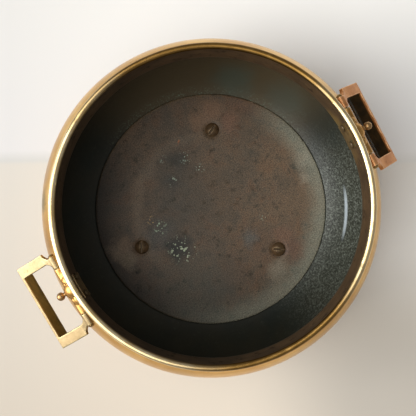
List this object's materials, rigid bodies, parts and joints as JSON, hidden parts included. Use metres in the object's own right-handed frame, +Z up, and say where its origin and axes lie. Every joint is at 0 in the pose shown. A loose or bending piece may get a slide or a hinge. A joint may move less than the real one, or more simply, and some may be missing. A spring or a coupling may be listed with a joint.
{
  "type": "planter pot",
  "caption": "Squat spun brass planter pot with a rolled rim, ball feet and hinged drop handles on cast mounts.",
  "frame": {"origin": "on the bowl's axis, on the ground under the three feet", "axes": "+Z up along the bowl's axis; +X towards the right handle, -X towards the left one; -Y is the front"},
  "size_m": [0.254, 0.2344, 0.125],
  "materials": {
    "spun_brass": "polished outside, browned and dark with age inside",
    "iron_wire": "drawn, dull",
    "patinated_brass": "brown patina with rust marks and verdigris",
    "turned_brass": "turned and polished",
    "tarnished_steel": "tarnished, rust at the edges",
    "cast_brass": "cast, lightly polished, dark in the hollows",
    "copper_rivet": "peened, dull",
    "brass_pin": "drawn, worn bright",
    "handle_brass": "cast, satin, dark inside the grip"
  },
  "bodies": {
    "pot": {"body_shell": "spun_brass", "rim_wire": "iron_wire", "floor_disc": "patinated_brass", "foot_left": "turned_brass", "foot_front": "turned_brass", "foot_back": "turned_brass", "foot_screw_left": "tarnished_steel", "foot_screw_front": "tarnished_steel", "foot_screw_back": "tarnished_steel", "handle_mount_left": "cast_brass", "handle_mount_right": "cast_brass", "backing_plate_left": "patinated_brass", "backing_plate_right": "patinated_brass", "mount_rivets_left": "copper_rivet", "mount_rivets_right": "copper_rivet", "ball_finial_left": "turned_brass", "ball_finial_right": "turned_brass", "hinge_pin_left_front": "brass_pin", "hinge_pin_left_back": "brass_pin", "hinge_pin_right_front": "brass_pin", "hinge_pin_right_back": "brass_pin"},
    "handle_left": {"drop_handle_left": "handle_brass"},
    "handle_right": {"drop_handle_right": "handle_brass"}
  },
  "joints": [
    {"name": "left_handle_swing", "type": "hinge", "parent": "pot", "child": "handle_left", "pos_m": [-0.10416, -0.00291, 0.1139], "axis": [-0.0279, 0.9996, 0], "range_deg": [-28, 107]},
    {"name": "right_handle_swing", "type": "hinge", "parent": "pot", "child": "handle_right", "pos_m": [0.10416, -0.00291, 0.1139], "axis": [-0.0279, -0.9996, 0], "range_deg": [0, 135]}
  ]
}
